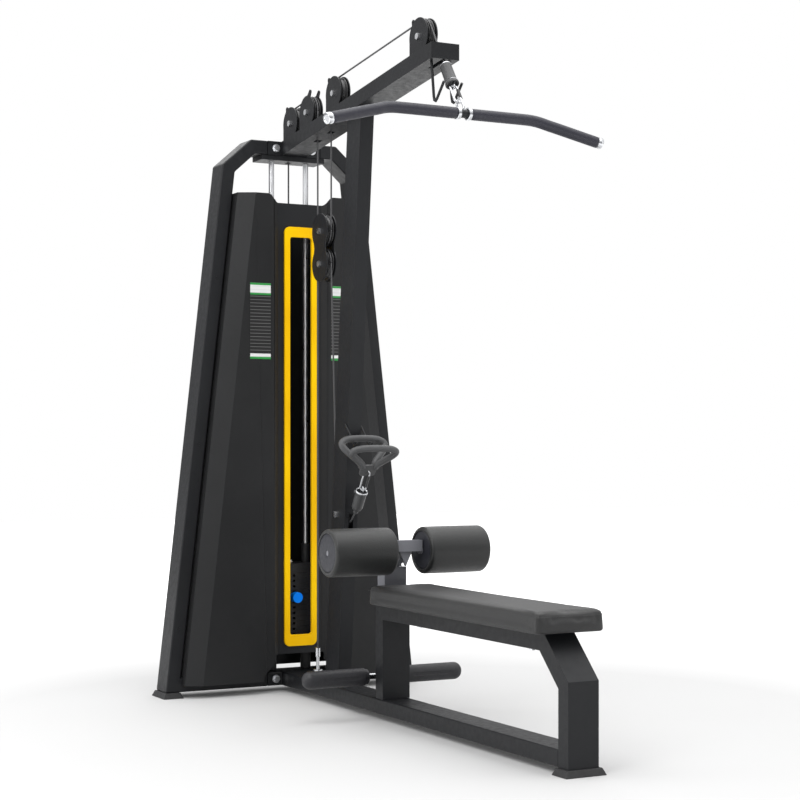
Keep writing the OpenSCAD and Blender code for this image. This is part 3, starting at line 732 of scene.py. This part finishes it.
def make_row_handle():
    """Two D grips of rubber-coated tube welded to a neck plate with a hole for the clip."""
    grips = []
    for direction, length, half in (((0, 42, 88), 0.100, 0.082), ((0, -50, 60), 0.078, 0.082)):
        route = grip_route(direction, length, half)
        radii = [0.0115] * len(route)
        radii[0] = radii[-1] = 0.0095
        grips.append(tube("grip", route, radii, GRIP, 24))
    handle = join("row_grips", grips)
    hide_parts("row_handle")
    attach(handle, "row")

    bm = bmesh.new()
    outline = []
    for cx, cz, turn in ((0.021, 0.002, 0), (-0.021, 0.002, 90), (-0.019, -0.020, 180),
                         (0.019, -0.020, 270)):
        for k in range(7):
            t = math.radians(turn + 15 * k)
            outline.append((cx + 0.010 * math.cos(t), cz + 0.010 * math.sin(t)))
    hole = [(0.0055 * math.cos(2 * math.pi * k / 28), -0.016 + 0.0055 * math.sin(2 * math.pi * k / 28))
            for k in range(28)]
    tilt = ROW_DIR.cross(Vector((1, 0, 0))).normalized()
    layers = []
    for depth in (-0.004, 0.004):
        layers.append([[bm.verts.new(ROW_NECK + Vector((x, 0, 0)) + z * ROW_DIR + depth * tilt)
                        for x, z in ring] for ring in (outline, hole)])
    n = len(outline)
    for ring in (0, 1):
        for k in range(n):
            j = (k + 1) % n
            bm.faces.new((layers[0][ring][k], layers[0][ring][j],
                          layers[1][ring][j], layers[1][ring][k]))
    for outer, inner in layers:
        for k in range(n):
            j = (k + 1) % n
            bm.faces.new((outer[k], outer[j], inner[j], inner[k]))
    plate = from_bmesh("row_neck_plate", bm, GRIP)
    soften(plate, 0.0015, 3)
    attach(plate, "row")


def make_row_link():
    """Stop on the low cable with its flange and lugs, and the clip to the handle's neck."""
    side = Vector((1, 0, 0))
    body = lathe("row_stop", [(-0.016, 0.0), (-0.0155, 0.0040), (-0.012, 0.0078), (-0.008, 0.0090),
                              (-0.004, 0.0080), (-0.001, 0.0055), (0.0, 0.0120), (0.003, 0.0155),
                              (0.012, 0.0190), (0.060, 0.0198), (0.064, 0.0198), (0.066, 0.0212),
                              (0.074, 0.0214), (0.076, 0.0200), (0.075, 0.0170), (0.064, 0.0150),
                              (0.060, 0.0)], STOP_GREY, ROW_STOP, ROW_DIR)
    rim = lathe("row_stop_rim", [(0.0738, 0.0172), (0.0765, 0.0182), (0.0778, 0.0200),
                                 (0.0765, 0.0216), (0.0735, 0.0218)], CHROME, ROW_STOP, ROW_DIR)
    eye = tube("row_stop_eye", loop_points(ROW_STOP + 0.060 * ROW_DIR, ROW_STOP + 0.092 * ROW_DIR,
                                           0.008, side.cross(ROW_DIR)), 0.0026, CHROME, 12, closed=True)
    lugs = []
    for turn in (35, 155, 275):
        t = math.radians(turn)
        up = ROW_DIR.cross(side).normalized()
        at = ROW_STOP + 0.066 * ROW_DIR + 0.0205 * (math.cos(t) * side + math.sin(t) * up)
        lugs.append(lathe("lug", [(0, 0.0), (0, 0.0042), (0.001, 0.0050), (0.007, 0.0050),
                                  (0.008, 0.0042), (0.008, 0.0)], STOP_GREY, at, ROW_DIR, 16))
    lugs = join("row_stop_lugs", lugs)
    for obj, name in ((body, "grip_grey"), (rim, "chrome"), (eye, "chrome"), (lugs, "grip_grey")):
        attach(obj, "row")
    neck_hole = ROW_NECK - 0.016 * ROW_DIR
    clip = make_carabiner("row_clip", ROW_STOP + 0.080 * ROW_DIR, neck_hole + 0.006 * ROW_DIR, 0.0105,
                          side.cross(ROW_DIR).lerp(side, 0.45).normalized(), "row", 0.0026)
    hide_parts("row_link")


make_bar_link()
make_lat_bar()
make_row_handle()
make_row_link()


# ---- soft goods ------------------------------------------------------------

def fluted(name, profile, mat, at, axis, count, depth, where, steps=120):
    """Turned piece with count grooves along it, depth deep between the two where distances."""
    obj = lathe(name, profile, mat, at, axis, steps)
    axis = Vector(axis).normalized()
    at = Vector(at)
    side = axis.cross(Vector((0, 0, 1)) if abs(axis.z) < 0.9 else Vector((0, 1, 0))).normalized()
    up = axis.cross(side)
    for v in obj.data.vertices:
        rel = v.co - at
        along_axis = rel.dot(axis)
        radial = rel - along_axis * axis
        if radial.length < 1e-6 or not where[0] <= along_axis <= where[1]:
            continue
        turn = math.atan2(radial.dot(up), radial.dot(side)) * count
        from_end = min(along_axis - where[0], where[1] - along_axis)
        taper = min(1.0, from_end / 0.012)
        cut = min(1.0, max(0.0, math.cos(turn) - 0.72 + 0.20 * (taper - 1)) / 0.10) * taper
        v.co -= radial.normalized() * depth * cut
    return obj


def make_thigh_rollers():
    """Foam rollers under grained vinyl, drawn in over a moulded disc at each end."""
    for side_name in ("left", "right"):
        node = "thigh_roller_" + side_name
        lo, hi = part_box(node)
        length = hi.x - lo.x
        r = (hi.z - lo.z) / 2
        at = Vector((lo.x, (lo.y + hi.y) / 2, (lo.z + hi.z) / 2))
        edge = [(0.0125 - 0.0110 * math.cos(math.radians(t)),
                 r - 0.0115 + 0.0110 * math.sin(math.radians(t))) for t in range(0, 91, 10)]
        lip = [(0.0080, r - 0.0160), (0.0034, r - 0.0145), (0.0016, r - 0.0130), *edge]
        crown = [(length * k / 24, r - 0.0006 + 0.0006 * math.sin(math.pi * k / 24)) for k in range(3, 22)]
        profile = [*lip, *crown, *[(length - a, b) for a, b in reversed(lip)]]
        foam = lathe(node + "_foam", profile, ROLLER_VINYL, at, (1, 0, 0), 96)
        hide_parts(node)
        discs = []
        for x, d in ((0.0, 1), (length, -1)):
            discs.append(lathe("disc", [(0.016, 0.0), (0.016, 0.0078), (0.0034, 0.0084), (0.0026, 0.0094),
                                        (0.0024, 0.014), (0.0028, r - 0.0230), (0.0034, r - 0.0175),
                                        (0.0048, r - 0.0158), (0.0085, r - 0.0152)],
                               DISC, at + Vector((x, 0, 0)), (d, 0, 0), 72))
        discs = join(node + "_discs", discs)
        for obj in (foam, discs):
            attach(obj, "thigh_" + side_name)


def make_foot_rollers():
    """Moulded foam rollers with long grooves, a domed outer end and a stepped inner neck."""
    for side_name, s in (("left", -1), ("right", 1)):
        node = "foot_roller_" + side_name
        lo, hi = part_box(node)
        length = hi.x - lo.x
        r = (hi.z - lo.z) / 2
        inner = Vector((lo.x if s > 0 else hi.x, (lo.y + hi.y) / 2, (lo.z + hi.z) / 2))
        dome = [(length - 0.024 + 0.024 * math.sin(math.radians(t)),
                 r - 0.022 + 0.022 * math.cos(math.radians(t))) for t in range(0, 91, 10)]
        profile = [(0.0, 0.0115), (0.0, r - 0.0060), (0.0015, r - 0.0045), (0.010, r - 0.0040),
                   (0.0115, r - 0.0015), (0.0150, r), *[(0.0150 + k * (length - 0.040) / 40, r)
                                                        for k in range(1, 40)],
                   *dome, (length - 0.0006, 0.004), (length - 0.0004, 0.0)]
        roller = fluted(node + "_foam", profile, FOAM, inner, (s, 0, 0), 4, 0.0022,
                        (0.034, length - 0.046))
        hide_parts(node)
        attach(roller, "foot_" + side_name)


PAD_CORNER = 0.015
PAD_VOXEL = 0.006
SEAM_HALF = 0.004
SEAM_DEPTH = 0.0013
STITCH_GAP = 0.0052


def pad_block(lo, hi, inset, radius):
    """Rounded block, inset from the box, as the pad's foam before it is upholstered."""
    bm = bmesh.new()
    bmesh.ops.create_cube(bm, size=1)
    mid, size = (lo + hi) / 2, hi - lo
    for v in bm.verts:
        v.co = mid + Vector(v.co[k] * (size[k] - 2 * inset) for k in range(3))
    upright = [e for e in bm.edges if abs(e.verts[0].co.z - e.verts[1].co.z) > 1e-4]
    bmesh.ops.bevel(bm, geom=upright, offset=radius, segments=8, affect="EDGES", profile=0.5)
    return bm


FOAM_PRESSURE = 4.0
SWELL_FRAMES = 20


def swell(obj, pinned_below, cap):
    """Upholstery cloth blown out by the foam behind it, held along the base board."""
    start = [v.co.copy() for v in obj.data.vertices]
    group = obj.vertex_groups.new(name="held")
    group.add([v.index for v in obj.data.vertices if v.co.z < pinned_below], 1.0, "REPLACE")
    mod = obj.modifiers.new("cloth", "CLOTH")
    cloth = mod.settings
    cloth.quality = 5
    cloth.mass = 0.4
    cloth.tension_stiffness = 40
    cloth.compression_stiffness = 40
    cloth.shear_stiffness = 20
    cloth.bending_stiffness = 8
    cloth.use_pressure = True
    cloth.uniform_pressure_force = FOAM_PRESSURE
    cloth.vertex_group_mass = "held"
    cloth.effector_weights.gravity = 0
    mod.collision_settings.use_collision = False
    scene = bpy.context.scene
    for f in range(1, SWELL_FRAMES + 1):
        scene.frame_set(f)
    graph = bpy.context.evaluated_depsgraph_get()
    mesh = bpy.data.meshes.new_from_object(obj.evaluated_get(graph))
    obj.modifiers.clear()
    obj.vertex_groups.clear()
    for v, was in zip(mesh.vertices, start):
        move = v.co - was
        if move.length > cap:
            v.co = was + move * (cap / move.length)
    obj.data = mesh
    scene.frame_set(1)


def remesh(obj, size):
    mod = obj.modifiers.new("remesh", "REMESH")
    mod.mode = "VOXEL"
    mod.voxel_size = size
    mod.use_smooth_shade = True
    return bake(obj)


def subdivide(obj):
    obj.modifiers.new("smooth", "SUBSURF").render_levels = 1
    obj.modifiers["smooth"].levels = 1
    return bake(obj)


def make_seat_pad():
    """Upholstered bench pad: sewn top panel over straight sides, on a covered board."""
    lo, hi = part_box("seat_pad")
    bm = pad_block(lo, hi, 0.0035, PAD_CORNER)
    top = [e for e in bm.edges if min(v.co.z for v in e.verts) > hi.z - 0.006]
    bmesh.ops.bevel(bm, geom=top, offset=0.007, segments=3, affect="EDGES", profile=0.6)
    pad = from_bmesh("seat_pad_cover", bm, VINYL)
    remesh(pad, PAD_VOXEL)
    swell(pad, lo.z + 0.010, 0.0045)
    subdivide(pad)
    mid = (lo + hi) / 2
    half = (hi - lo) / 2
    seam_z = hi.z - 0.011
    rng = random.Random(4)
    folds = [(rng.uniform(lo.y, hi.y), rng.uniform(0.020, 0.050), rng.uniform(-0.0006, 0.0006))
             for _ in range(16)]
    for v in pad.data.vertices:
        u = (v.co.x - mid.x) / half.x
        w = (v.co.y - mid.y) / half.y
        if v.co.z > hi.z - 0.010:
            v.co.z += 0.0016 * (1 - u * u) * (1 - w ** 8) - 0.0008
        near = abs(v.co.z - seam_z)
        if near < SEAM_HALF and (abs(u) > 0.85 or abs(w) > 0.96):
            dent = SEAM_DEPTH * (1 - (near / SEAM_HALF) ** 2)
            v.co.x -= math.copysign(dent, u) if abs(u) > 0.9 else 0
            v.co.y -= math.copysign(dent, w) if abs(w) > 0.97 else 0
        if abs(u) > 0.93 and v.co.z < seam_z:
            for place, wide, deep in folds:
                v.co.x += math.copysign(deep * math.exp(-((v.co.y - place) / wide) ** 2), u)
        v.co.z = max(v.co.z, lo.z + 0.0006)
    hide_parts("seat_pad")
    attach(pad, "frame")
    make_stitches(lo, hi, seam_z)


def outline_points(lo, hi, radius, z, gap):
    """Points a gap apart round the pad's plan at height z, with the outward directions."""
    corners = [(hi.x - radius, hi.y - radius, 0), (lo.x + radius, hi.y - radius, 90),
               (lo.x + radius, lo.y + radius, 180), (hi.x - radius, lo.y + radius, 270)]
    path = []
    for cx, cy, turn in corners:
        for k in range(9):
            t = math.radians(turn + 90 * k / 8)
            path.append(Vector((cx + radius * math.cos(t), cy + radius * math.sin(t), z)))
    path.append(path[0])
    out = []
    carry = 0.0
    for a, b in zip(path, path[1:]):
        span = (b - a).length
        d = (b - a).normalized()
        while carry < span:
            out.append((a + d * carry, d, Vector((d.y, -d.x, 0))))
            carry += gap
        carry -= span
    return out


def make_stitches(lo, hi, z):
    """Thread stitches sunk along the pad's seam."""
    bm = bmesh.new()
    for at, d, outward in outline_points(lo, hi, PAD_CORNER, z - 0.004, STITCH_GAP):
        at = at - 0.0012 * outward
        rings = []
        for k, r in ((-1.0, 0.0001), (-0.7, 0.0005), (0.0, 0.0006), (0.7, 0.0005), (1.0, 0.0001)):
            c = at + d * k * 0.0019 + outward * 0.0002
            rings.append([bm.verts.new(c + r * (math.cos(t) * outward + math.sin(t) * Vector((0, 0, 1))))
                          for t in (math.pi * j / 3 for j in range(6))])
        for a, b in zip(rings, rings[1:]):
            for j in range(6):
                bm.faces.new((a[j], a[(j + 1) % 6], b[(j + 1) % 6], b[j]))
    thread = from_bmesh("seat_pad_stitches", bm, THREAD)
    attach(thread, "frame")


make_thigh_rollers()
make_foot_rollers()
make_seat_pad()


# ---- floor and light -------------------------------------------------------

FLOOR_GLOW = (0.03, 0.85)
GLOW_REACH = (1.5, 4.5)


def make_stage():
    """Pale floor whose glow rises with distance, so shadows show and the edge melts into white."""
    bm = bmesh.new()
    for x, y in ((-12, -12), (12, -12), (12, 14), (-12, 14)):
        bm.verts.new((x, y, 0))
    bm.faces.new(bm.verts)
    p = Paint("studio_floor", (0.56, 0.56, 0.56), 0.8)
    p.set_color(p.mix(p.noise(0.8, 2.0), (0.55, 0.55, 0.55), (0.57, 0.57, 0.57)))
    p.shader.inputs["Emission Color"].default_value = (1, 1, 1, 1)
    away = p.node("ShaderNodeVectorMath", operation="LENGTH")
    p.link(p.coords, away.inputs[0])
    p.link(p.remap(away.outputs["Value"], *GLOW_REACH, *FLOOR_GLOW),
           p.shader.inputs["Emission Strength"])
    from_bmesh("floor", bm, p.mat, smooth=False)


def make_light(name, at, aim, size, power):
    data = bpy.data.lights.new(name, "AREA")
    data.shape = "RECTANGLE"
    data.size, data.size_y = size
    data.energy = power
    obj = bpy.data.objects.new(name, data)
    obj.location = at
    obj.rotation_euler = (Vector(aim) - Vector(at)).to_track_quat("-Z", "Y").to_euler()
    bpy.context.collection.objects.link(obj)


CEILING = 1.5


def make_world():
    """White to the camera; to the object, a bright ceiling over darker walls."""
    world = bpy.data.worlds.new("studio")
    bpy.context.scene.world = world
    world.use_nodes = True
    tree = world.node_tree
    split = tree.nodes.new("ShaderNodeSeparateXYZ")
    tree.links.new(tree.nodes.new("ShaderNodeTexCoord").outputs["Generated"], split.inputs["Vector"])
    ramp = tree.nodes.new("ShaderNodeValToRGB")
    tree.links.new(split.outputs["Z"], ramp.inputs["Fac"])
    low, high = ramp.color_ramp.elements
    low.color, high.color = (0.10, 0.10, 0.105, 1), (1.0, 1.0, 1.0, 1)
    high.position = 0.80
    lit = tree.nodes["Background"]
    lit.inputs["Strength"].default_value = CEILING
    tree.links.new(ramp.outputs["Color"], lit.inputs["Color"])
    seen = tree.nodes.new("ShaderNodeBackground")
    seen.inputs["Color"].default_value = (1, 1, 1, 1)
    pick = tree.nodes.new("ShaderNodeMixShader")
    tree.links.new(tree.nodes.new("ShaderNodeLightPath").outputs["Is Camera Ray"], pick.inputs[0])
    tree.links.new(lit.outputs[0], pick.inputs[1])
    tree.links.new(seen.outputs[0], pick.inputs[2])
    tree.links.new(pick.outputs[0], tree.nodes["World Output"].inputs["Surface"])
    bpy.context.scene.view_settings.view_transform = "Standard"


make_stage()
make_world()
MID = Vector((0, FRONT_Y, 0))
make_light("key", MID + Vector((-3.2, -3.0, 3.6)), MID + Vector((0, -0.6, 0.9)), (2.0, 2.0), 48)
make_light("side", MID + Vector((-5.0, 0.6, 1.6)), MID + Vector((0, 0, 1.1)), (2.0, 3.0), 62)
make_light("fill", MID + Vector((3.5, -4.0, 2.2)), MID + Vector((0, -0.8, 0.9)), (1.5, 2.5), 14)
make_light("back", MID + Vector((1.5, 4.0, 3.6)), MID + Vector((0, 0, 1.2)), (3.0, 1.5), 20)
make_light("overhead", MID + Vector((0, -1.2, 4.6)), MID + Vector((0, -1.2, 0)), (4.5, 4.5), 90)
